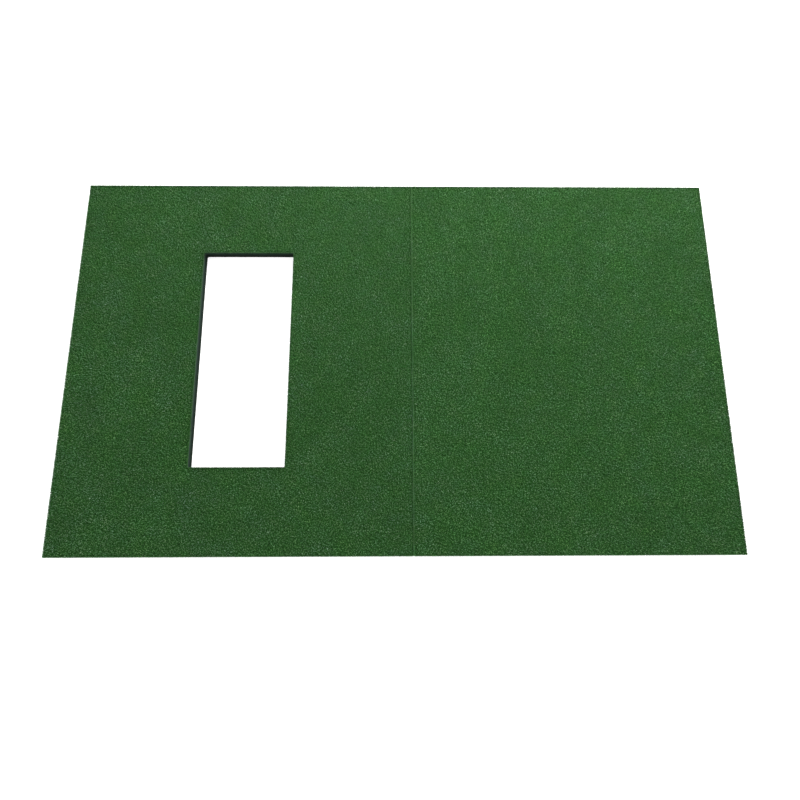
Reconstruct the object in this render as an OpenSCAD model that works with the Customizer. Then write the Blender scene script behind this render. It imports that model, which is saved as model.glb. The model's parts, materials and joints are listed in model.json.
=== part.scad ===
// Golf hitting mat in two panels that butt together on the floor. The hitting panel has a
// through cut-out that takes a hitting strip; the player stands on the stance panel.
// Each panel is a stack of layers glued face to face: a non-slip underlay, firm foam, soft
// foam, and a tufted turf made of a foam coat, a woven cloth and the yarn pile.
// X runs along the mat from the hitting panel to the stance panel, Y across it, Z up.
// The origin is on the floor, at the centre of the mat's footprint.

/* [Panels] */
// Width of the hitting panel, along X
hitting_panel_w = 1117; // [900:1:1300]
// Width of the stance panel, along X
stance_panel_w = 1016; // [600:1:1300]
// Depth of both panels, along Y
panel_d = 1219; // [1150:1:1500]
// Space between the two panels where they butt
seam_gap = 1; // [0.8:0.1:2]
// Radius of the panels' outside corners
panel_corner_r = 3; // [1:0.5:10]

/* [Hitting strip cut-out] */
// Width of the cut-out, along X
cutout_w = 305; // [200:1:400]
// Length of the cut-out, along Y
cutout_d = 711; // [500:1:800]
// Distance from the hitting panel's free side to the cut-out
cutout_side_margin = 411; // [60:1:450]
// Distance from the hitting panel's front to the cut-out
cutout_front_margin = 262; // [60:1:300]
// Radius of the cut-out's inside corners
cutout_corner_r = 5; // [1:0.5:12]

/* [Layers from the floor up] */
// Thickness of the non-slip underlay
grip_underlay_t = 2.5; // [1:0.5:5]
// Thickness of the firm base foam
base_foam_t = 22; // [20:1:40]
// Thickness of the soft comfort foam
comfort_foam_t = 8; // [4:1:20]
// Thickness of the foam coat on the back of the turf
turf_cushion_t = 5; // [2:0.5:8]
// Thickness of the woven cloth that the yarn is tufted through
turf_cloth_t = 1.5; // [1:0.1:3]
// Height of the yarn pile above the cloth
pile_h = 12; // [8:1:25]

/* [Seam tapes] */
// Width of the hook tape and the loop tape, up the seam wall
tape_w = 16; // [10:1:18]
// Length of each strip of tape, along Y
tape_l = 300; // [150:10:340]
// Distance between the centres of neighbouring strips
tape_pitch = 400; // [350:10:400]
// Thickness of each tape, with its hooks or loops
tape_t = 1.8; // [1.5:0.1:3]
// How far each tape stands out of the recess that it is glued into
tape_proud = 0.3; // [0:0.05:0.35]

/* [Hidden] */

$fn = 48;

// Places along X
mat_w = hitting_panel_w + seam_gap + stance_panel_w;
hitting_side_x = -mat_w / 2;
hitting_seam_x = hitting_side_x + hitting_panel_w;
stance_seam_x = hitting_seam_x + seam_gap;

// Places along Y
front_y = -panel_d / 2;
front_tape_y = -tape_pitch;
middle_tape_y = 0;
back_tape_y = tape_pitch;

// Underside of each layer above the underlay
base_foam_z = grip_underlay_t;
comfort_foam_z = base_foam_z + base_foam_t;
turf_cushion_z = comfort_foam_z + comfort_foam_t;
turf_cloth_z = turf_cushion_z + turf_cushion_t;
pile_z = turf_cloth_z + turf_cloth_t;

// The tapes lie halfway up the base foam's wall, in recesses of their own size
tape_z = base_foam_z + (base_foam_t - tape_w) / 2;
hook_tape_x = hitting_seam_x + tape_proud - tape_t;
loop_tape_x = stance_seam_x - tape_proud;

pile_colour = "#375935";
turf_cloth_colour = "#2a2c2b";
turf_cushion_colour = "#3c403d";
comfort_foam_colour = "#2e3130";
base_foam_colour = "#1f2120";
grip_underlay_colour = "#161716";
tape_colour = "#101010";

// ---- Outlines and shared shapes ----

// A rectangle with true round corners, its low corner at the origin
module rounded_rectangle(w, d, r) {
    translate([r, 0]) square([w - 2 * r, d]);
    translate([0, r]) square([w, d - 2 * r]);
    for (x = [r, w - r], y = [r, d - r]) {
        translate([x, y]) circle(r = r);
    }
}

module hitting_outline() {
    translate([hitting_side_x, front_y]) {
        difference() {
            rounded_rectangle(hitting_panel_w, panel_d, panel_corner_r);
            translate([cutout_side_margin, cutout_front_margin]) {
                rounded_rectangle(cutout_w, cutout_d, cutout_corner_r);
            }
        }
    }
}

module stance_outline() {
    translate([stance_seam_x, front_y]) {
        rounded_rectangle(stance_panel_w, panel_d, panel_corner_r);
    }
}

// One layer: its outline is the child, its underside is at z and it is t thick
module layer(z, t) {
    translate([0, 0, z]) linear_extrude(height = t) children();
}

// One strip of tape on the seam wall, its low X face at x and its middle at y
module seam_tape(x, y) {
    translate([x, y - tape_l / 2, tape_z]) cube([tape_t, tape_l, tape_w]);
}

module seam_tape_row(x) {
    for (y = [front_tape_y, middle_tape_y, back_tape_y]) {
        seam_tape(x, y);
    }
}

// ---- Hitting panel ----

module hitting_pile() {
    color(pile_colour) layer(pile_z, pile_h) hitting_outline();
}

module hitting_turf_cloth() {
    color(turf_cloth_colour) layer(turf_cloth_z, turf_cloth_t) hitting_outline();
}

module hitting_turf_cushion() {
    color(turf_cushion_colour) layer(turf_cushion_z, turf_cushion_t) hitting_outline();
}

module hitting_comfort_foam() {
    color(comfort_foam_colour) layer(comfort_foam_z, comfort_foam_t) hitting_outline();
}

module hitting_base_foam() {
    color(base_foam_colour) difference() {
        layer(base_foam_z, base_foam_t) hitting_outline();
        seam_tape_row(hook_tape_x);
    }
}

module hitting_grip_underlay() {
    color(grip_underlay_colour) layer(0, grip_underlay_t) hitting_outline();
}

// ---- Stance panel ----

module stance_pile() {
    color(pile_colour) layer(pile_z, pile_h) stance_outline();
}

module stance_turf_cloth() {
    color(turf_cloth_colour) layer(turf_cloth_z, turf_cloth_t) stance_outline();
}

module stance_turf_cushion() {
    color(turf_cushion_colour) layer(turf_cushion_z, turf_cushion_t) stance_outline();
}

module stance_comfort_foam() {
    color(comfort_foam_colour) layer(comfort_foam_z, comfort_foam_t) stance_outline();
}

module stance_base_foam() {
    color(base_foam_colour) difference() {
        layer(base_foam_z, base_foam_t) stance_outline();
        seam_tape_row(loop_tape_x);
    }
}

module stance_grip_underlay() {
    color(grip_underlay_colour) layer(0, grip_underlay_t) stance_outline();
}

// ---- Seam tapes: hooks on the hitting panel, loops on the stance panel ----

module hook_tape(y) {
    color(tape_colour) seam_tape(hook_tape_x, y);
}

module loop_tape(y) {
    color(tape_colour) seam_tape(loop_tape_x, y);
}

hitting_pile();
hitting_turf_cloth();
hitting_turf_cushion();
hitting_comfort_foam();
hitting_base_foam();
hitting_grip_underlay();
stance_pile();
stance_turf_cloth();
stance_turf_cushion();
stance_comfort_foam();
stance_base_foam();
stance_grip_underlay();
hook_tape(front_tape_y);  // hook_tape_front
hook_tape(middle_tape_y);  // hook_tape_middle
hook_tape(back_tape_y);  // hook_tape_back
loop_tape(front_tape_y);  // loop_tape_front
loop_tape(middle_tape_y);  // loop_tape_middle
loop_tape(back_tape_y);  // loop_tape_back
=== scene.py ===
"""Looks of the golf hitting mat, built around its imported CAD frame.

Sizes are in metres, in the frame's own axes: X along the mat, Y across it, Z up.
"""

import json
import math

import bpy
import numpy as np
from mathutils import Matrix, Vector
from mathutils.geometry import delaunay_2d_cdt


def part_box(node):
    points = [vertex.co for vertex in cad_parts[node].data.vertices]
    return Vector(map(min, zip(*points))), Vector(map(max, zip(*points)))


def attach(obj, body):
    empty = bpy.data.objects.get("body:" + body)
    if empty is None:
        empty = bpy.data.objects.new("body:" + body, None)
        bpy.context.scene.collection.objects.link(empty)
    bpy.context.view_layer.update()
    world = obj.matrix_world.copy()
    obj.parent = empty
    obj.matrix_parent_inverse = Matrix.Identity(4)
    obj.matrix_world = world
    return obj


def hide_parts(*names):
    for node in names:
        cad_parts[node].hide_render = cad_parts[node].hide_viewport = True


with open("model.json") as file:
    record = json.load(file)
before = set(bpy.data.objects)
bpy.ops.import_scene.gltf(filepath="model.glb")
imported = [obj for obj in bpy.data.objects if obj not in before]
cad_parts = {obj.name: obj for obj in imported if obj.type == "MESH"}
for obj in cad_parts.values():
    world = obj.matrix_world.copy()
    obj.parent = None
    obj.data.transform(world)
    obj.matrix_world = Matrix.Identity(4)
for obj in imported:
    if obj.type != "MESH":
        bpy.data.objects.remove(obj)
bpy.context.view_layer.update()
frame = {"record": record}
MM = 0.001
SEED = 7

# ---- Sizes that the frame doesn't state ----

CORNER_R = 3 * MM  # outside corners of the panels
CUTOUT_CORNER_R = 5 * MM
OPENING_CLEARANCE = 1 * MM  # between the record's opening box and the cut-out's walls
ARC_STEPS = 5  # points on each round corner
ON_SIDE = 0.01 * MM  # a loop's point this near to a side's place lies on that side
MERGE_DISTANCE = 1e-7  # of points, when a cap is cut into triangles

PANELS = ("hitting", "stance")
TAPE_PLACES = ("front", "middle", "back")
TAPE_KIND = {"hitting": "hook", "stance": "loop"}
LAYERS = ("turf_cloth", "turf_cushion", "comfort_foam", "base_foam", "grip_underlay")

# ---- Camera and light ----

CAMERA_PLACE = (-0.0174, -0.3735, 2.0506)
CAMERA_TURN_DEG = (14.313, -0.742, -0.142)
CAMERA_LENS_MM = 28
CAMERA_SHIFT_Y = -0.10375

# Each lamp's place, its width and depth, and its power in watts
LAMPS = {
    "key": ((2.9, 1.5, 3.0), (2.2, 2.2), 98),
    "back": ((0.3, 1.75, 1.4), (2.2, 0.8), 80),
}
# A far lamp, low on the right. Its angles are in degrees, and its power is for each square metre.
SIDE_LAMP_RISE = 15  # over the floor
SIDE_LAMP_TURN = 15  # from +X towards +Y
SIDE_LAMP_WIDTH = 12
SIDE_LAMP_POWER = 2.0
SKY_STRENGTH = 1.02
# The floor is lit from behind, as a light table is, so that it is white right up to the mat
FLOOR_GLOW = 0.8
FLOOR_TONES = (0.44, 0.46)
FLOOR_PATCH = 0.6  # width of its slow changes of tone
FLOOR_WIDTH = 60


# ---- Outlines ----


def rectangle_loop(lo, hi, radius, spacing):
    """Points counter-clockwise round a rectangle with round corners, at most spacing apart."""
    x0, y0, x1, y1 = lo[0], lo[1], hi[0], hi[1]
    corners = (
        (x1 - radius, y0 + radius, -math.pi / 2),
        (x1 - radius, y1 - radius, 0.0),
        (x0 + radius, y1 - radius, math.pi / 2),
        (x0 + radius, y0 + radius, math.pi),
    )
    arcs = []
    for cx, cy, start in corners:
        turns = np.linspace(start, start + math.pi / 2, ARC_STEPS)
        arcs.append(np.column_stack([cx + radius * np.cos(turns), cy + radius * np.sin(turns)]))
    points = []
    for arc, after in zip(arcs, arcs[1:] + arcs[:1]):
        points.append(arc)
        steps = max(1, math.ceil(np.linalg.norm(after[0] - arc[-1]) / spacing))
        along = np.linspace(0, 1, steps + 1)[1:-1, None]
        points.append(arc[-1] * (1 - along) + after[0] * along)
    return np.concatenate(points)


def outward(loop):
    """Unit normals of a counter-clockwise loop, pointing out of it."""
    along = np.roll(loop, -1, axis=0) - np.roll(loop, 1, axis=0)
    normal = np.column_stack([along[:, 1], -along[:, 0]])
    return normal / np.linalg.norm(normal, axis=1, keepdims=True)


def heights(node):
    """The lowest and highest Z of a CAD node."""
    lo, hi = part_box(node)
    return lo.z, hi.z


def panel_box(panel):
    """The panel's lowest and highest X and Y."""
    lo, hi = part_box(f"{panel}_pile")
    return np.array(lo[:2]), np.array(hi[:2])


def seam_x(panel):
    """The X of the panel's side at the seam."""
    lo, hi = panel_box(panel)
    return hi[0] if panel == "hitting" else lo[0]


def on_seam_wall(panel, loop):
    """Which points of the loop lie on the panel's straight wall at the seam."""
    return abs(loop[:, 0] - seam_x(panel)) < ON_SIDE


def cutout_box():
    """The cut-out's lowest and highest X and Y."""
    lo, hi = frame["record"]["physics"]["openings"][0]["box_m"]
    return np.array(lo[:2]) - OPENING_CLEARANCE, np.array(hi[:2]) + OPENING_CLEARANCE


def panel_loops(panel, spacing):
    """The panel's outside loop, and the cut-out's loop where the panel has one."""
    loops = [rectangle_loop(*panel_box(panel), CORNER_R, spacing)]
    if panel == "hitting":
        loops.append(rectangle_loop(*cutout_box(), CUTOUT_CORNER_R, spacing))
    return loops


# ---- Meshes ----


def new_object(name, points, faces, smooth=False):
    """An object from an (n, 3) array of points and a list of arrays of faces, where each array's
    faces have the same number of corners."""
    mesh = bpy.data.meshes.new(name)
    mesh.vertices.add(len(points))
    mesh.vertices.foreach_set("co", np.asarray(points, np.float32).ravel())
    corners = np.concatenate([np.asarray(f, np.int32).ravel() for f in faces])
    lengths = np.concatenate([np.full(len(f), f.shape[1], np.int32) for f in faces])
    mesh.loops.add(len(corners))
    mesh.loops.foreach_set("vertex_index", corners)
    mesh.polygons.add(len(lengths))
    starts = np.concatenate([[0], np.cumsum(lengths)[:-1]]).astype(np.int32)
    mesh.polygons.foreach_set("loop_start", starts)
    mesh.update(calc_edges=True)
    mesh.polygons.foreach_set("use_smooth", np.full(len(lengths), smooth))
    obj = bpy.data.objects.new(name, mesh)
    bpy.context.scene.collection.objects.link(obj)
    return obj


NO_POINTS = np.empty((0, 3))


def cap_triangles(loops, inner):
    """Triangles, seen counter-clockwise, between the outside loop and the hole's loop, if there is
    one. They number the loops' points first and the inner points after them. The cut keeps to the
    loops, so a hole's triangles are the ones whose corners all lie on its loop."""
    points = np.concatenate([*loops, inner])
    outlines = []
    count = 0
    for loop in loops:
        outlines.append(list(range(count, count + len(loop))))
        count += len(loop)
    made = delaunay_2d_cdt([Vector(p) for p in points], [], outlines, 1, MERGE_DISTANCE)
    triangles = np.array(made[2])
    if len(loops) > 1:
        hole = outlines[1]
        in_hole = ((triangles >= hole[0]) & (triangles <= hole[-1])).all(axis=1)
        triangles = triangles[~in_hole]
    a, b, c = (points[triangles[:, i]] for i in range(3))
    turn = (b[:, 0] - a[:, 0]) * (c[:, 1] - a[:, 1]) - (b[:, 1] - a[:, 1]) * (c[:, 0] - a[:, 0])
    triangles[turn < 0] = triangles[turn < 0][:, ::-1]
    return triangles


def layered_solid(name, loops, levels, push, relief=NO_POINTS, axes=(0, 1, 2)):
    """A closed slab whose walls rise through the levels. push(loop, level) gives how far each point
    of the loop stands out of the wall there. relief is points on the top. axes says which of the
    slab's own axes lies along X, Y and Z."""
    points, walls, bottoms, tops = [], [], [], []
    count = 0
    for number, loop in enumerate(loops):
        out = outward(loop) * (1 if number == 0 else -1)
        n = len(loop)
        for level in levels:
            pushed = loop + out * push(loop, level)[:, None]
            points.append(np.column_stack([pushed, np.full(n, level)]))
        index = count + np.arange(len(levels) * n).reshape(len(levels), n)
        beside = np.roll(index, -1, axis=1)
        quads = np.stack([index[:-1], beside[:-1], beside[1:], index[1:]], axis=-1).reshape(-1, 4)
        walls.append(quads if number == 0 else quads[:, ::-1])
        bottoms.append(index[0])
        tops.append(index[-1])
        count += index.size
    points.append(relief)
    tops.append(count + np.arange(len(relief)))
    bottom = np.concatenate(bottoms)[cap_triangles(loops, relief[:0, :2])][:, ::-1]
    top = np.concatenate(tops)[cap_triangles(loops, relief[:, :2])]
    points = np.concatenate(points)[:, axes]
    return new_object(name, points, [np.concatenate(walls), bottom, top])


def smooth_noise(rng, n, reach):
    """n seeded values round a loop, each the mean of reach neighbours, with a spread of about 1."""
    raw = rng.normal(size=n)
    total = np.cumsum(np.concatenate([raw[-reach:], raw]))
    return (total[reach:] - total[:-reach]) / math.sqrt(reach)


TEAR_REACH = 2  # points of a loop that a fine tear spreads over
WAVE_REACH = 40
WALL_PROUD = 0.5 * MM  # the furthest that a cut wall stands out


def cut_wall(rng, levels, roundness, roughness, waviness):
    """A push for layered_solid: a knife-cut wall with round edges, fine tears and slow waves."""
    rounded = {levels[0]: 1.0, levels[1]: 0.3, levels[-2]: 0.3, levels[-1]: 1.0}

    def push(loop, level):
        fine = roughness * smooth_noise(rng, len(loop), TEAR_REACH)
        slow = waviness * smooth_noise(rng, len(loop), WAVE_REACH)
        return np.minimum(fine + slow, WALL_PROUD) - roundness * rounded.get(level, 0.0)

    return push


def wall_levels(z0, z1, rounding, step):
    """Rising levels with a close pair at each end, where the edge is rounded."""
    inner = max(2, math.ceil((z1 - z0 - 2 * rounding) / step) + 1)
    return [z0, *np.linspace(z0 + rounding, z1 - rounding, inner).tolist(), z1]


def tubes(name, paths, radii, side, turn=0.0, pointed=False, smooth=True):
    """Closed three-sided tubes. paths is (tubes, stations, 3), radii has one value or one for each
    tube at each station, and side is each tube's direction across its path. A pointed tube's last
    station is its tip."""
    n, stations, _ = paths.shape
    along = np.gradient(paths, axis=1)
    along /= np.linalg.norm(along, axis=2, keepdims=True)
    side = side[:, None, :] - along * (along * side[:, None, :]).sum(axis=2, keepdims=True)
    side /= np.linalg.norm(side, axis=2, keepdims=True)
    across = np.cross(along, side)
    corner = np.reshape(turn, (-1, 1, 1)) + np.arange(3) * (2 * math.pi / 3)
    ring = side[:, :, None] * np.cos(corner)[..., None] + across[:, :, None] * np.sin(corner)[..., None]
    reach = np.stack([np.broadcast_to(r, n) for r in radii], axis=1)[:, :, None, None]
    points = (paths[:, :, None] + ring * reach).reshape(n, stations * 3, 3)
    if pointed:
        points = np.concatenate([points[:, :-3], paths[:, -1:]], axis=1)
    first = np.arange(n)[:, None] * points.shape[1]
    quads = []
    triangles = [first + np.array([[2, 1, 0]])]
    last = (stations - 1) * 3
    for corner in range(3):
        after = (corner + 1) % 3
        for low in range(0, last - 3 if pointed else last, 3):
            high = low + 3
            quads.append(first + np.array([[low + corner, low + after, high + after, high + corner]]))
        if pointed:
            triangles.append(first + np.array([[last - 3 + corner, last - 3 + after, last]]))
    if not pointed:
        triangles.append(first + np.array([[last, last + 1, last + 2]]))
    faces = [np.concatenate(quads), np.concatenate(triangles)]
    return new_object(name, points.reshape(-1, 3), faces, smooth)


def give_values(obj, name, values):
    """Stores one number for each of the mesh's points."""
    layer = obj.data.attributes.new(name, "FLOAT", "POINT")
    layer.data.foreach_set("value", np.asarray(values, np.float32))


# ---- Material nodes ----


WAVE_PERIOD = 2 * math.pi / 20  # of Blender's wave texture at a scale of 1


class Nodes:
    """A new material with a Principled shader, and short ways to add nodes to it."""

    def __init__(self, name):
        self.material = bpy.data.materials.new(name)
        self.material.use_nodes = True
        self.tree = self.material.node_tree
        self.shader = self.tree.nodes["Principled BSDF"]
        self.place = self.tree.nodes.new("ShaderNodeTexCoord").outputs["Object"]

    def link(self, source, socket):
        self.tree.links.new(source, socket)

    def put(self, socket, value):
        """A number, a colour or another node's output goes into the socket."""
        if isinstance(value, bpy.types.NodeSocket):
            self.link(value, socket)
        else:
            socket.default_value = value

    def noise(self, size, detail=3.0, stretch=(1, 1, 1)):
        """Noise from 0 to 1 with lumps of about that size in metres."""
        mapping = self.tree.nodes.new("ShaderNodeMapping")
        mapping.inputs["Scale"].default_value = stretch
        self.link(self.place, mapping.inputs["Vector"])
        node = self.tree.nodes.new("ShaderNodeTexNoise")
        node.inputs["Scale"].default_value = 1 / size
        node.inputs["Detail"].default_value = detail
        self.link(mapping.outputs["Vector"], node.inputs["Vector"])
        return node.outputs["Fac"]

    def cells(self, size, feature="F1"):
        """Distance in a pattern of cells of about that size in metres."""
        node = self.tree.nodes.new("ShaderNodeTexVoronoi")
        node.feature = feature
        node.inputs["Scale"].default_value = 1 / size
        self.link(self.place, node.inputs["Vector"])
        return node.outputs["Distance"]

    def threads(self, pitch, way):
        """Ridges from 0 to 1 across X, Y or Z, pitch metres apart."""
        node = self.tree.nodes.new("ShaderNodeTexWave")
        node.bands_direction = way
        node.inputs["Scale"].default_value = WAVE_PERIOD / pitch
        node.inputs["Distortion"].default_value = 0.6
        self.link(self.place, node.inputs["Vector"])
        return node.outputs["Fac"]

    def attribute(self, name):
        """A number that give_values stored on the mesh."""
        node = self.tree.nodes.new("ShaderNodeAttribute")
        node.attribute_name = name
        return node.outputs["Fac"]

    def between(self, value, low, high, from_low=0.0, from_high=1.0):
        """The value, scaled so that from_low becomes low and from_high becomes high."""
        node = self.tree.nodes.new("ShaderNodeMapRange")
        ends = {"From Min": from_low, "From Max": from_high, "To Min": low, "To Max": high}
        for socket, end in ends.items():
            node.inputs[socket].default_value = end
        self.link(value, node.inputs["Value"])
        return node.outputs["Result"]

    def math(self, operation, a, b):
        node = self.tree.nodes.new("ShaderNodeMath")
        node.operation = operation
        self.put(node.inputs[0], a)
        self.put(node.inputs[1], b)
        return node.outputs["Value"]

    def ramp(self, value, stops):
        """A colour from a list of (position, (r, g, b))."""
        node = self.tree.nodes.new("ShaderNodeValToRGB")
        elements = node.color_ramp.elements
        while len(elements) < len(stops):
            elements.new(0.5)
        for element, (position, colour) in zip(elements, stops):
            element.position = position
            element.color = (*colour, 1)
        self.link(value, node.inputs["Fac"])
        return node.outputs["Color"]

    def mix(self, share, a, b, blend="MIX"):
        node = self.tree.nodes.new("ShaderNodeMix")
        node.data_type = "RGBA"
        node.blend_type = blend
        self.put(node.inputs["Factor"], share)
        for socket, colour in zip([s for s in node.inputs if s.type == "RGBA"], (a, b)):
            self.put(socket, colour if isinstance(colour, bpy.types.NodeSocket) else (*colour, 1))
        return [s for s in node.outputs if s.type == "RGBA"][0]

    def bump(self, height, depth, strength=1.0):
        """Bump from a height of 0 to 1 that stands depth metres high."""
        node = self.tree.nodes.new("ShaderNodeBump")
        node.inputs["Distance"].default_value = depth
        node.inputs["Strength"].default_value = strength
        self.link(height, node.inputs["Height"])
        self.link(node.outputs["Normal"], self.shader.inputs["Normal"])

    def finish(self, colour, roughness, specular=0.5, sheen=0.0):
        self.put(self.shader.inputs["Base Color"], colour)
        self.put(self.shader.inputs["Roughness"], roughness)
        self.shader.inputs["Specular IOR Level"].default_value = specular
        self.shader.inputs["Sheen Weight"].default_value = sheen
        return self.material


def scaled(colour, by):
    """The colour, made darker or lighter."""
    return tuple(c * by for c in colour)


def turf_fibre_material(panel, tint):
    """Nylon fibre: each tuft has its own shade, and the field is mottled. Each tuft is painted darker towards
    its root: painted shade where the tufts shade each other's roots.
    """
    m = Nodes(f"{panel}_turf_fibre")
    shade = m.ramp(
        m.attribute("shade"),
        [
            (0.0, (0.01, 0.062, 0.008)),
            (0.5, (0.062, 0.195, 0.052)),
            (0.93, (0.155, 0.34, 0.138)),
            (1.0, (0.28, 0.5, 0.27)),
        ],
    )
    greyness = m.ramp(
        m.noise(75 * MM, detail=1),
        [(0.3, (0.86, 1.0, 0.74)), (0.7, (1.15, 1.0, 1.28))],
    )
    warmth = m.ramp(
        m.noise(40 * MM, detail=1),
        [(0.3, (0.92, 1.0, 1.08)), (0.7, (1.08, 1.0, 0.93))],
    )
    hue = m.mix(1.0, greyness, warmth, "MULTIPLY")
    tone = m.ramp(m.noise(90 * MM, detail=3), [(0.35, (0.88,) * 3), (0.65, (1.12,) * 3)])
    mottled = m.mix(1.0, m.mix(1.0, shade, hue, "MULTIPLY"), tone, "MULTIPLY")
    tinted = m.mix(1.0, mottled, tint, "MULTIPLY")
    # Painted shade: the colour darkens towards each tuft's root.
    root_painted_shade = m.ramp(m.attribute("rise"), [(0.0, (0.3, 0.3, 0.3)), (0.8, (1, 1, 1))])
    colour = m.mix(1.0, tinted, root_painted_shade, "MULTIPLY")
    return m.finish(colour, m.between(m.attribute("shade"), 0.65, 0.5), specular=0.24)


def turf_bed_material(panel):
    """The dense lower pile between the tufts. Its colour is painted far darker than the fibres': painted
    shade between the tufts.
    """
    m = Nodes(f"{panel}_turf_bed")
    lumps = m.noise(3 * MM, detail=4)
    # Painted shade: the bed's colour is much darker than the fibres' own green.
    colour = m.ramp(lumps, [(0.3, (0.005, 0.022, 0.004)), (0.7, (0.024, 0.085, 0.019))])
    m.bump(lumps, 1.5 * MM)
    return m.finish(colour, m.between(lumps, 0.8, 0.95), specular=0.08)


def foam_material(name, colour, pore_size):
    """Cut foam: small open pores, a few wide ones, and faint lines that the knife left along it. The pores
    are painted darker than the foam: painted shade inside them.
    """
    m = Nodes(name)
    pores = m.cells(pore_size)
    wide_pores = m.between(m.cells(5 * pore_size), 0.0, 1.0, 0.12, 0.3)
    tone = m.mix(m.noise(14 * MM, detail=4), scaled(colour, 0.6), scaled(colour, 1.4))
    knife_lines = m.ramp(
        m.noise(1.6 * MM, detail=2, stretch=(0.05, 0.05, 1)),
        [(0.35, (0.75,) * 3), (0.65, (1.25,) * 3)],
    )
    lined = m.mix(1.0, tone, knife_lines, "MULTIPLY")
    # Painted shade: the pores, and the wide pores more so, are darkened in the colour.
    pores_painted_dark = m.mix(m.between(pores, 1.0, 0.0, 0.0, 0.45), lined, scaled(colour, 0.35))
    shown = m.mix(wide_pores, scaled(colour, 0.25), pores_painted_dark)
    m.bump(m.math("MULTIPLY", pores, wide_pores), 0.4 * MM)
    return m.finish(shown, m.between(m.noise(6 * MM), 0.85, 1.0), specular=0.0)


def woven_material(name, colour, pitch, ways):
    """Crossing yarns whose pitch is in metres, with a little change of tone. Between the yarns the colour is
    painted darker: painted shade in the gaps.
    """
    m = Nodes(name)
    yarns = m.math("MAXIMUM", *[m.threads(pitch, way) for way in ways])
    tone = m.mix(m.noise(9 * MM, detail=4), scaled(colour, 0.75), scaled(colour, 1.3))
    # Painted shade: darker between the yarns.
    shown = m.mix(yarns, scaled(colour, 0.45), tone)
    m.bump(yarns, 0.25 * MM)
    return m.finish(shown, m.between(yarns, 0.9, 0.7), specular=0.06, sheen=0.1)


def yarn_material(name, colour, roughness):
    """Short single yarns, hooks or loops, each a little lighter or darker than the next."""
    m = Nodes(name)
    tone = m.mix(m.noise(1.5 * MM, detail=1), scaled(colour, 0.6), scaled(colour, 1.5))
    return m.finish(tone, m.between(m.noise(2 * MM), roughness - 0.08, roughness + 0.08), specular=0.3)


def rubber_material(name, colour):
    """Moulded rubber with a fine pebbled face and dusty patches."""
    m = Nodes(name)
    pebbles = m.cells(1.6 * MM, "SMOOTH_F1")
    dust = m.ramp(m.noise(30 * MM, detail=5), [(0.45, scaled(colour, 0.8)), (0.75, scaled(colour, 1.9))])
    m.bump(pebbles, 0.3 * MM)
    return m.finish(dust, m.between(m.noise(10 * MM), 0.65, 0.9), specular=0.08)


def floor_material():
    """A pale floor that glows evenly."""
    m = Nodes("pale_floor")
    colour = m.mix(m.noise(FLOOR_PATCH), *[(tone,) * 3 for tone in FLOOR_TONES])
    m.shader.inputs["Emission Color"].default_value = (1, 1, 1, 1)
    m.shader.inputs["Emission Strength"].default_value = FLOOR_GLOW
    return m.finish(colour, 0.9, specular=0.1)


def dress(obj, material):
    """Gives the object that one material."""
    obj.data.materials.clear()
    obj.data.materials.append(material)
    return obj


# ---- Turf ----

SIDE_WAYS = ((-1, 0), (1, 0), (0, -1), (0, 1))  # the outward directions of a panel's sides
SEAM_SIDE = {"hitting": 1, "stance": 0}  # the seam's number among them

# The bed
BED_DROP = 6.5 * MM  # from the pile's top down to the bed's mean level between the tufts
BED_PITCH = 4.6 * MM  # of its lumps
BED_SCATTER = 0.3  # of the pitch
BED_LUMPS_MM = (-2.2, 1.4)  # over and under the mean level
BED_INSET = 2.5 * MM  # from the edges to the nearest lumps

# The field's tufts. A range is the least and the most, and one whose name ends in MM is in
# millimetres.
TUFT_PITCH = (4.4 * MM, 4.1 * MM)
TUFT_SCATTER = 0.45  # of the pitch
TUFT_INSET = 1 * MM  # from the edges to the nearest roots
TUFT_ROOT_SINK = 1.5 * MM  # under the bed's mean level
TUFT_R_MM = (0.7, 1.0)
TUFT_LEAN_MM = (2.0, 5.5)
TUFT_CURL = 0.4  # the most that the bend stands to a side, as a share of the lean
BEND_LEAN = 0.55  # of the whole lean, at the bend
BEND_RISE = 0.78  # of the whole height, at the bend
SHORTFALL_SHAPE = 1.6  # how far the tips stay under the pile's top follows a gamma curve
SHORTFALL_SCALE = 0.8
SHORTFALL_MOST_MM = 4.5
EDGE_TURN_REACH = 6 * MM  # nearer an edge than this, the tufts turn towards it
EDGE_TURN = 0.8  # of their own lean that they lose at the edge
EDGE_LEAN = 1.2 * MM
SHADE_SPREAD = {"hitting": 0.165, "stance": 0.205}
BRIGHT_SHADE = 0.93  # a few tufts are brighter than this, and the others are darker
BRIGHT_SHARE = 0.025
# Within this reach of an edge, except at the seam, the field's tufts are painted darker: painted shade at the
# pile's edges.
EDGE_PAINTED_SHADE_REACH = 2.5 * MM
EDGE_PAINTED_SHADE = 0.5
TUFT_BAND_COUNT = {"hitting": 4, "stance": 5}


def rectangle_depth(points, lo, hi, radius):
    """How deep each point is inside a rectangle with round corners. Outside it is negative."""
    centre = (lo + hi) / 2
    half = (hi - lo) / 2 - radius
    away = np.abs(points - centre) - half
    beyond = np.linalg.norm(np.maximum(away, 0), axis=1)
    within = np.minimum(away.max(axis=1), 0)
    return radius - beyond - within


def scattered_grid(lo, hi, pitch, scatter, rng):
    """Points in rows over the box, each moved at random by up to scatter times the pitch."""
    rows = [np.arange(a, b, step) for a, b, step in zip(lo, hi, pitch)]
    grid = np.stack(np.meshgrid(*rows, indexing="ij"), axis=-1).reshape(-1, 2)
    return grid + rng.uniform(-scatter, scatter, grid.shape) * pitch


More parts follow.
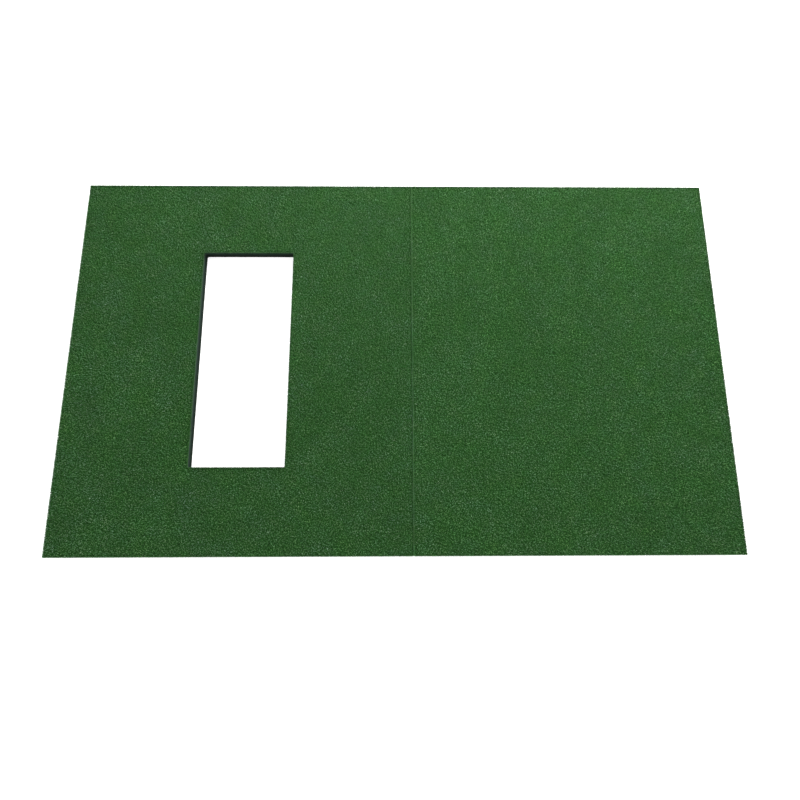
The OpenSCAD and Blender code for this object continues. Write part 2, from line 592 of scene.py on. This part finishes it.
def edge_pull(points, panel):
    """Each point's depth inside the turf, the unit direction to the nearest edge, and whether that
    edge is the seam."""
    lo, hi = panel_box(panel)
    depth = rectangle_depth(points, lo, hi, CORNER_R)
    sides = np.stack([points[:, 0] - lo[0], hi[0] - points[:, 0], points[:, 1] - lo[1], hi[1] - points[:, 1]])
    nearest_side = sides.argmin(axis=0)
    toward = np.array(SIDE_WAYS, float)[nearest_side]
    at_seam = nearest_side == SEAM_SIDE[panel]
    if panel == "hitting":
        cut_lo, cut_hi = cutout_box()
        cut_depth = -rectangle_depth(points, cut_lo, cut_hi, CUTOUT_CORNER_R)
        nearest = np.clip(points, cut_lo, cut_hi) - points
        length = np.maximum(np.linalg.norm(nearest, axis=1, keepdims=True), 1e-9)
        closer = cut_depth < depth
        toward = np.where(closer[:, None], nearest / length, toward)
        depth = np.minimum(depth, cut_depth)
        at_seam &= ~closer
    return depth, toward, at_seam


def add_tufts(name, roots, bends, tips, thick, shade, rng, material):
    """Tapering fibres, each from a root through a bend to a pointed tip."""
    lean = (tips - roots)[:, :2]
    side = np.column_stack([-lean[:, 1], lean[:, 0], np.zeros(len(lean))])
    paths = np.stack([roots, bends, tips], axis=1)
    turn = rng.uniform(0, 2 * math.pi, len(roots))
    obj = tubes(name, paths, (thick * 0.9, thick, 0.0), side, turn, pointed=True)
    points_at_stations = (3, 3, 1)
    give_values(obj, "shade", np.repeat(shade, sum(points_at_stations)))
    give_values(obj, "rise", np.tile(np.repeat([0.0, 0.6, 1.0], points_at_stations), len(roots)))
    return dress(obj, material)


def field_tufts(panel, material):
    """The field's tufts, in bands across the panel so that no piece is too big to export whole."""
    rng = np.random.default_rng(SEED + PANELS.index(panel))
    pile_top = heights(f"{panel}_pile")[1]
    grid = scattered_grid(*panel_box(panel), TUFT_PITCH, TUFT_SCATTER, rng)
    depth, toward, at_seam = edge_pull(grid, panel)
    inside = depth > TUFT_INSET
    grid, depth, toward, at_seam = grid[inside], depth[inside], toward[inside], at_seam[inside]
    n = len(grid)
    way = rng.uniform(0, 2 * math.pi, n)
    lean = np.column_stack([np.cos(way), np.sin(way)]) * rng.uniform(*TUFT_LEAN_MM, n)[:, None] * MM
    near_edge = np.clip(1 - depth / EDGE_TURN_REACH, 0, 1)[:, None]
    lean = lean * (1 - EDGE_TURN * near_edge) + toward * near_edge * EDGE_LEAN
    curl = np.column_stack([-lean[:, 1], lean[:, 0]]) * rng.uniform(-TUFT_CURL, TUFT_CURL, n)[:, None]
    shortfall = rng.gamma(SHORTFALL_SHAPE, SHORTFALL_SCALE, n).clip(0, SHORTFALL_MOST_MM) * MM
    top = pile_top - shortfall
    base = pile_top - BED_DROP - TUFT_ROOT_SINK
    roots = np.column_stack([grid, np.full(n, base)])
    bends = np.column_stack([grid + lean * BEND_LEAN + curl, base + (top - base) * BEND_RISE])
    tips = np.column_stack([grid + lean, top])
    thick = rng.uniform(*TUFT_R_MM, n) * MM
    shade = np.clip(rng.normal(0.5, SHADE_SPREAD[panel], n), 0, BRIGHT_SHADE)
    bright = rng.random(n) < BRIGHT_SHARE
    shade = np.where(bright, rng.uniform(BRIGHT_SHADE, 1.0, n), shade)
    # Painted shade near the edges, though not at the seam
    shade *= 1 - EDGE_PAINTED_SHADE * np.clip(1 - depth / EDGE_PAINTED_SHADE_REACH, 0, 1) * ~at_seam
    bands = np.array_split(np.argsort(grid[:, 1]), TUFT_BAND_COUNT[panel])
    made = []
    for number, part in enumerate(bands, 1):
        arrays = [a[part] for a in (roots, bends, tips, thick, shade)]
        made.append(add_tufts(f"{panel}_tufts_{number}", *arrays, rng, material))
    return made


# The tufts on the cut sides. They are painted darker than the field's tufts: painted shade at the pile's
# edges.
# Round the cut-out they lean out further than round the panel, and are painted darker still. At the seam the
# hitting panel's tufts lean over the gap and hide it.
EDGE_R_MM = (0.7, 1.05)
EDGE_SHADES_PAINTED_DARK = (0.02, 0.55)
EDGE_LENGTHS = (0.75, 1.1)  # of the length that its row gives
EDGE_LEAN_OUT = (0.1, 1.0)  # of the lean that its row gives
EDGE_LEAN_ALONG_MM = 1.3
EDGE_HEIGHT_SCATTER_MM = 0.7
EDGE_TIP_DROP = 0.1 * MM  # the least distance of the tips under the pile's top
CUTOUT_FRINGE = 1.8  # how much further they lean out round the cut-out
CUTOUT_PAINTED_SHADE = 0.5
SEAM_FRINGE = {"hitting": 2.4, "stance": 1.0}
# At the seam the hitting panel's edge tufts are painted lighter and the stance panel's darker: painted light
# over the gap's shadow, and painted shade where the side lamp lights the stance side.
SEAM_PAINTED_LIGHT_AND_SHADE = {"hitting": 0.15, "stance": -0.1}

# The rows of tufts on the pile's cut sides: the root's height over the cloth and the depth of the
# root inside the wall, the fibre's length and its spacing, and how far it may lean out
EDGE_ROWS = (
    (0.8 * MM, 0.9 * MM, 4.5 * MM, 2.4 * MM, 1.4 * MM),
    (3.4 * MM, 0.9 * MM, 4.5 * MM, 2.4 * MM, 1.4 * MM),
    (6.0 * MM, 0.9 * MM, 5.0 * MM, 1.8 * MM, 1.2 * MM),
    (5.5 * MM, 1.8 * MM, 6.2 * MM, 1.7 * MM, 0.9 * MM),
)


def edge_tufts(panel, material):
    """Tufts that show on the pile's cut sides and fill its rim."""
    rng = np.random.default_rng(SEED + 10 + PANELS.index(panel))
    pile_base, pile_top = heights(f"{panel}_pile")
    parts = []
    for low, inset, length, spacing, lean_out in EDGE_ROWS:
        for number, loop in enumerate(panel_loops(panel, spacing)):
            n = len(loop)
            out = outward(loop) * (1 if number == 0 else -1)
            along = np.column_stack([-out[:, 1], out[:, 0]])
            root = loop - out * inset + along * rng.uniform(-0.5, 0.5, n)[:, None] * spacing
            in_cutout = number > 0
            at_seam = on_seam_wall(panel, loop)
            fringe = np.where(at_seam, SEAM_FRINGE[panel], CUTOUT_FRINGE if in_cutout else 1.0)
            lean = out * (rng.uniform(*EDGE_LEAN_OUT, n) * lean_out * fringe)[:, None]
            lean += along * rng.uniform(-EDGE_LEAN_ALONG_MM, EDGE_LEAN_ALONG_MM, n)[:, None] * MM
            z = pile_base + low + rng.uniform(-EDGE_HEIGHT_SCATTER_MM, EDGE_HEIGHT_SCATTER_MM, n) * MM
            tip_z = np.minimum(z + length * rng.uniform(*EDGE_LENGTHS, n), pile_top - EDGE_TIP_DROP)
            roots = np.column_stack([root, z])
            bends = np.column_stack([root + out * inset * 0.8 + lean * 0.4, z + (tip_z - z) * 0.6])
            tips = np.column_stack([root + out * inset + lean, tip_z])
            thick = rng.uniform(*EDGE_R_MM, n) * MM
            shade = rng.uniform(*EDGE_SHADES_PAINTED_DARK, n)
            # Painted light or painted shade on the tufts at the seam
            shade = np.maximum(shade + SEAM_PAINTED_LIGHT_AND_SHADE[panel] * at_seam, 0)
            # Painted shade on the tufts round the cut-out
            if in_cutout:
                shade *= CUTOUT_PAINTED_SHADE
            parts.append((roots, bends, tips, thick, shade))
    arrays = [np.concatenate(p) for p in zip(*parts)]
    return add_tufts(f"{panel}_edge_tufts", *arrays, rng, material)


def pile_bed(panel, material):
    """The dense lower part of the pile, with a lumpy top."""
    rng = np.random.default_rng(SEED + 20 + PANELS.index(panel))
    bottom, pile_top = heights(f"{panel}_pile")
    top = pile_top - BED_DROP
    lumps = scattered_grid(*panel_box(panel), (BED_PITCH, BED_PITCH), BED_SCATTER, rng)
    lumps = lumps[edge_pull(lumps, panel)[0] > BED_INSET]
    relief = np.column_stack([lumps, top + rng.uniform(*BED_LUMPS_MM, len(lumps)) * MM])
    levels = wall_levels(bottom, top, 1 * MM, 2 * MM)
    push = cut_wall(rng, levels, roundness=1.2 * MM, roughness=0.25 * MM, waviness=0.1 * MM)
    bed = layered_solid(f"{panel}_pile_bed", panel_loops(panel, 3 * MM), levels, push, relief)
    return dress(bed, material)


# ---- Layers under the turf ----


WALL_STEP = 2.5 * MM  # between the points along and up a layer's walls
RECESS_ROOM = 0.3 * MM  # over and under a tape
RECESS_SLOPE = 0.5 * MM  # the height in which the wall turns in to the recess
RECESS_END_ROOM = 1 * MM  # past each end of a tape
RECESS_GLUE = 0.1 * MM  # behind a tape


def build_layer(panel, layer, material, rounding):
    """A closed slab of one layer, cut at its walls. The base foam has a recess behind each tape."""
    rng = np.random.default_rng(SEED + 30 + 2 * LAYERS.index(layer) + PANELS.index(panel))
    levels = wall_levels(*heights(f"{panel}_{layer}"), rounding, WALL_STEP)
    recessed = layer == "base_foam"
    if recessed:
        lo, hi = tape_box(panel, TAPE_PLACES[0])
        outer = RECESS_ROOM + RECESS_SLOPE
        edges = (lo.z - outer, lo.z - RECESS_ROOM, hi.z + RECESS_ROOM, hi.z + outer)
        levels = sorted([*levels, *edges])
    cut = cut_wall(rng, levels, roundness=rounding * 0.7, roughness=0.12 * MM, waviness=0.12 * MM)

    def push(loop, level):
        return cut(loop, level) - (recess_depth(panel, loop, level) if recessed else 0)

    loops = panel_loops(panel, WALL_STEP)
    obj = dress(layered_solid(f"{panel}_{layer}_body", loops, levels, push), material)
    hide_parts(f"{panel}_{layer}")
    return obj


def tape_node(panel, place):
    return f"{TAPE_KIND[panel]}_tape_{place}"


def tape_box(panel, place):
    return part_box(tape_node(panel, place))


def recess_depth(panel, loop, level):
    """How far the base foam's wall is cut back at the level, behind the tapes."""
    depth = np.zeros(len(loop))
    room = RECESS_ROOM + RECESS_SLOPE / 2
    for place in TAPE_PLACES:
        lo, hi = tape_box(panel, place)
        if not lo.z - room < level < hi.z + room:
            continue
        back = lo.x if panel == "hitting" else hi.x
        past_front = loop[:, 1] > lo.y - RECESS_END_ROOM
        before_back = loop[:, 1] < hi.y + RECESS_END_ROOM
        behind = on_seam_wall(panel, loop) & past_front & before_back
        depth[behind] = abs(seam_x(panel) - back) + RECESS_GLUE
    return depth


YARN_END_PITCH = 2.2 * MM
YARN_END_R_MM = (0.28, 0.42)
YARN_END_REACH_MM = (0.1, 0.6)  # out of the cloth's edge
YARN_END_DROP_MM = (0, 0.3)
YARN_END_SCATTER_MM = 0.35  # up and down
YARN_END_HIDDEN = 0.9 * MM  # inside the cloth


def yarn_ends(panel, material):
    """The cut ends of the turf cloth's yarns, which stand a little out of its edges."""
    rng = np.random.default_rng(SEED + 50 + PANELS.index(panel))
    middle = sum(heights(f"{panel}_turf_cloth")) / 2
    inner = []
    outer = []
    for number, loop in enumerate(panel_loops(panel, YARN_END_PITCH)):
        n = len(loop)
        out = outward(loop) * (1 if number == 0 else -1)
        z = middle + rng.uniform(-YARN_END_SCATTER_MM, YARN_END_SCATTER_MM, n) * MM
        inner.append(np.column_stack([loop - out * YARN_END_HIDDEN, z]))
        reach = rng.uniform(*YARN_END_REACH_MM, n)[:, None] * MM
        drop = rng.uniform(*YARN_END_DROP_MM, n) * MM
        outer.append(np.column_stack([loop + out * reach, z - drop]))
    paths = np.stack([np.concatenate(inner), np.concatenate(outer)], axis=1)
    thick = rng.uniform(*YARN_END_R_MM, len(paths)) * MM
    side = np.tile((0.0, 0.0, 1.0), (len(paths), 1))
    return dress(tubes(f"{panel}_cloth_yarn_ends", paths, (thick, thick * 0.8), side), material)


# ---- Tapes ----

# Where each kind of tape's fibre goes, in millimetres: out of the web, and along it
TAPE_FIBRE = {
    "hook": ((-0.2, 0.0), (0.5, 0.0), (0.85, 0.15), (0.95, 0.45), (0.75, 0.7)),
    "loop": ((-0.2, -0.5), (0.5, -0.6), (0.95, 0.0), (0.5, 0.6), (-0.2, 0.5)),
}
TAPE_FIBRE_R = {"hook": 0.17 * MM, "loop": 0.13 * MM}
TAPE_FIBRE_PITCH = 2 * MM
TAPE_FIBRE_SCATTER = 0.15  # of the pitch
TAPE_MARGIN = 1.5 * MM  # of bare web round the fibres
WEB_T = 0.9 * MM
WEB_ROUNDING = 0.2 * MM


def tape_web(panel, place, material):
    """The woven strip of a tape, glued upright in its recess."""
    lo, hi = tape_box(panel, place)
    back = lo.x if panel == "hitting" else hi.x - WEB_T
    levels = wall_levels(back, back + WEB_T, WEB_ROUNDING, WEB_T)
    rng = np.random.default_rng(SEED + 60 + TAPE_PLACES.index(place))
    push = cut_wall(rng, levels, roundness=0.12 * MM, roughness=0.05 * MM, waviness=0.05 * MM)
    outline = rectangle_loop((lo.y, lo.z), (hi.y, hi.z), 1.2 * MM, 3 * MM)
    web = layered_solid(f"{tape_node(panel, place)}_web", [outline], levels, push, axes=(2, 0, 1))
    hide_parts(tape_node(panel, place))
    return dress(web, material)


def tape_fibres(panel, place, material):
    """The tape's hooks or loops, in rows on the web."""
    kind = TAPE_KIND[panel]
    rng = np.random.default_rng(SEED + 70 + TAPE_PLACES.index(place))
    lo, hi = tape_box(panel, place)
    out = np.array([1.0 if kind == "hook" else -1.0, 0.0, 0.0])
    face = lo.x + WEB_T if kind == "hook" else hi.x - WEB_T
    first = np.array([lo.y, lo.z]) + TAPE_MARGIN
    last = np.array([hi.y, hi.z]) - TAPE_MARGIN + 0.1 * MM  # so that a row at the margin counts
    pitch = (TAPE_FIBRE_PITCH, TAPE_FIBRE_PITCH)
    grid = scattered_grid(first, last, pitch, TAPE_FIBRE_SCATTER, rng)
    n = len(grid)
    roots = np.column_stack([np.full(n, face), grid])
    row = np.rint((grid[:, 1] - first[1]) / TAPE_FIBRE_PITCH)
    way = np.where(row % 2 == 0, 0.0, math.pi) if kind == "hook" else rng.uniform(0, 2 * math.pi, n)
    along = np.column_stack([np.zeros(n), np.cos(way), np.sin(way)])
    stations = np.array(TAPE_FIBRE[kind]) * MM
    paths = roots[:, None] + stations[:, :1] * out + stations[:, 1:] * along[:, None]
    radii = [TAPE_FIBRE_R[kind]] * len(stations)
    fibres = tubes(f"{tape_node(panel, place)}_{kind}s", paths, radii, np.cross(out, along))
    return dress(fibres, material)


# ---- Stage ----


def build_floor():
    half = FLOOR_WIDTH / 2
    corners = np.array([(-half, -half, 0), (half, -half, 0), (half, half, 0), (-half, half, 0)])
    floor = new_object("floor", corners, [np.array([[0, 1, 2, 3]])])
    dress(floor, floor_material())


def build_lights():
    """An even white sky, the lamps and the far side lamp."""
    world = bpy.data.worlds.new("soft_sky")
    world.use_nodes = True
    sky = world.node_tree.nodes["Background"]
    sky.inputs["Color"].default_value = (1, 1, 1, 1)
    sky.inputs["Strength"].default_value = SKY_STRENGTH
    bpy.context.scene.world = world
    for name, (lamp_place, (width, depth), watts) in LAMPS.items():
        data = bpy.data.lights.new(name, "AREA")
        data.shape = "RECTANGLE"
        data.size = width
        data.size_y = depth
        data.energy = watts
        lamp = bpy.data.objects.new(name, data)
        lamp.location = lamp_place
        lamp.rotation_euler = (-Vector(lamp_place)).to_track_quat("-Z", "Y").to_euler()
        bpy.context.scene.collection.objects.link(lamp)
    side_data = bpy.data.lights.new("side", "SUN")
    side_data.energy = SIDE_LAMP_POWER
    side_data.angle = math.radians(SIDE_LAMP_WIDTH)
    side = bpy.data.objects.new("side", side_data)
    side.rotation_euler = (0, math.radians(90 - SIDE_LAMP_RISE), math.radians(SIDE_LAMP_TURN))
    bpy.context.scene.collection.objects.link(side)


def build_camera():
    data = bpy.data.cameras.new("photo_view")
    data.lens = CAMERA_LENS_MM
    data.shift_y = CAMERA_SHIFT_Y
    camera = bpy.data.objects.new("photo_view", data)
    camera.location = CAMERA_PLACE
    camera.rotation_euler = [math.radians(a) for a in CAMERA_TURN_DEG]
    bpy.context.scene.collection.objects.link(camera)
    bpy.context.scene.camera = camera


# ---- The whole mat ----

LAYER_COLOURS = {
    "turf_cloth": (0.02, 0.029, 0.023),
    "turf_cushion": (0.026, 0.042, 0.032),
    "comfort_foam": (0.019, 0.03, 0.023),
    "base_foam": (0.0105, 0.0165, 0.0125),
    "grip_underlay": (0.007, 0.0095, 0.0078),
}
TAPE_COLOUR = (0.006, 0.006, 0.006)
TAPE_FIBRE_ROUGHNESS = {"hook": 0.45, "loop": 0.7}
SOFT_ROUNDING = 0.5 * MM  # of the soft layers' edges
FIRM_ROUNDING = 0.35 * MM
TINTS = {"hitting": (0.995, 0.94, 1.01), "stance": (1.03, 1.03, 1.01)}


def layer_materials():
    return {
        "turf_cloth": woven_material("turf_cloth_weave", LAYER_COLOURS["turf_cloth"], 1.6 * MM, "XY"),
        "turf_cushion": foam_material("cushion_foam", LAYER_COLOURS["turf_cushion"], 0.9 * MM),
        "comfort_foam": foam_material("soft_foam", LAYER_COLOURS["comfort_foam"], 0.6 * MM),
        "base_foam": foam_material("firm_foam", LAYER_COLOURS["base_foam"], 0.5 * MM),
        "grip_underlay": rubber_material("underlay_rubber", LAYER_COLOURS["grip_underlay"]),
    }


def put_on_panel(obj, panel):
    """The object moves with the panel."""
    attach(obj, f"{panel}_panel")
    return obj


def build_turf(panel):
    """The pile: its bed and all its tufts."""
    fibre = turf_fibre_material(panel, TINTS[panel])
    bed = pile_bed(panel, turf_bed_material(panel))
    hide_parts(f"{panel}_pile")
    made = [bed, *field_tufts(panel, fibre), edge_tufts(panel, fibre)]
    return [put_on_panel(obj, panel) for obj in made]


def build_layers(panel, materials, pile):
    """The layers under the pile, with softer rounded edges on the two soft foams, and the yarn ends at the
    cloth's edges.
    """
    lo, hi = panel_box(panel)
    flat = tuple(hi - lo)
    area = float(np.prod(flat))
    if panel == "hitting":
        cut_lo, cut_hi = cutout_box()
        area -= float(np.prod(cut_hi - cut_lo))
    for layer in LAYERS:
        soft = layer in ("turf_cushion", "comfort_foam")
        obj = build_layer(panel, layer, materials[layer], SOFT_ROUNDING if soft else FIRM_ROUNDING)
        put_on_panel(obj, panel)
    ends = yarn_ends(panel, yarn_material(f"{panel}_cloth_yarn", LAYER_COLOURS["turf_cloth"], 0.7))
    put_on_panel(ends, panel)


def build_tapes(panel):
    """The panel's hook or loop tapes, glued into the base foam's recesses."""
    kind = TAPE_KIND[panel]
    woven = woven_material(f"{kind}_tape_weave", TAPE_COLOUR, 0.8 * MM, "YZ")
    fibre = yarn_material(f"{kind}_tape_fibre", TAPE_COLOUR, TAPE_FIBRE_ROUGHNESS[kind])
    for place in TAPE_PLACES:
        web = put_on_panel(tape_web(panel, place, woven), panel)
        fibres = put_on_panel(tape_fibres(panel, place, fibre), panel)


def main():
    bpy.context.scene.view_settings.view_transform = "Standard"
    build_camera()
    build_lights()
    build_floor()
    materials = layer_materials()
    for panel in PANELS:
        build_layers(panel, materials, build_turf(panel))
        build_tapes(panel)


main()
